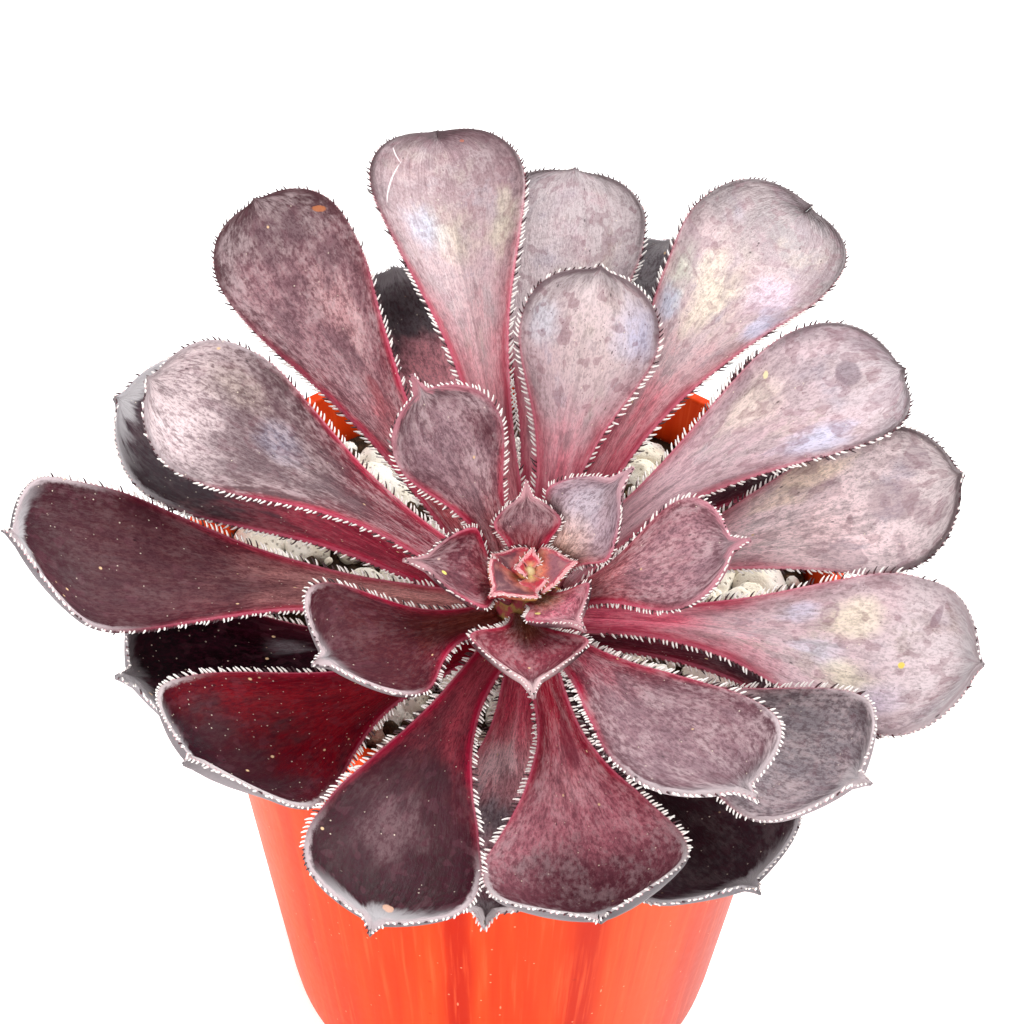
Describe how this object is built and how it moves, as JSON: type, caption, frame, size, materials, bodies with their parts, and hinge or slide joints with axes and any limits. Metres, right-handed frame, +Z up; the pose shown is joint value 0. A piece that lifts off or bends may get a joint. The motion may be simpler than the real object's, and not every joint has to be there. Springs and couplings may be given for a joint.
{
  "type": "potted aeonium",
  "caption": "Dark purple-red aeonium rosette with spoon-shaped, hair-fringed leaves on a short leaning stem, in a round orange-red nursery pot dressed with white stones.",
  "frame": {"origin": "middle of the pot's underside, on the floor it stands on", "axes": "+Z up along the pot's axis; the rosette leans towards -Y, the side it is seen from; +X to the viewer's right"},
  "size_m": [0.1119, 0.1256, 0.1246],
  "materials": {
    "pot_plastic": "glossy",
    "potting_mix": "matte",
    "pumice_stones": "matte",
    "stem_bark": "matte",
    "heart_leaf": "satin",
    "leaf_skin": "satin"
  },
  "bodies": {
    "root": {"pot": "pot_plastic", "potting_mix": "potting_mix", "top_dressing": "pumice_stones", "stem": "stem_bark", "heart": "heart_leaf", "leaf_00": "leaf_skin", "leaf_01": "leaf_skin", "leaf_02": "leaf_skin", "leaf_03": "leaf_skin", "leaf_04": "leaf_skin", "leaf_05": "leaf_skin", "leaf_06": "leaf_skin", "leaf_07": "leaf_skin", "leaf_08": "leaf_skin", "leaf_09": "leaf_skin", "leaf_10": "leaf_skin", "leaf_11": "leaf_skin", "leaf_12": "leaf_skin", "leaf_13": "leaf_skin", "leaf_14": "leaf_skin", "leaf_15": "leaf_skin", "leaf_16": "leaf_skin", "leaf_17": "leaf_skin", "leaf_18": "leaf_skin", "leaf_19": "leaf_skin", "leaf_20": "leaf_skin", "leaf_21": "leaf_skin", "leaf_22": "leaf_skin", "leaf_23": "leaf_skin", "leaf_24": "leaf_skin", "leaf_25": "leaf_skin", "leaf_26": "leaf_skin", "leaf_27": "leaf_skin", "leaf_28": "leaf_skin", "leaf_29": "leaf_skin", "leaf_30": "leaf_skin"}
  },
  "joints": []
}
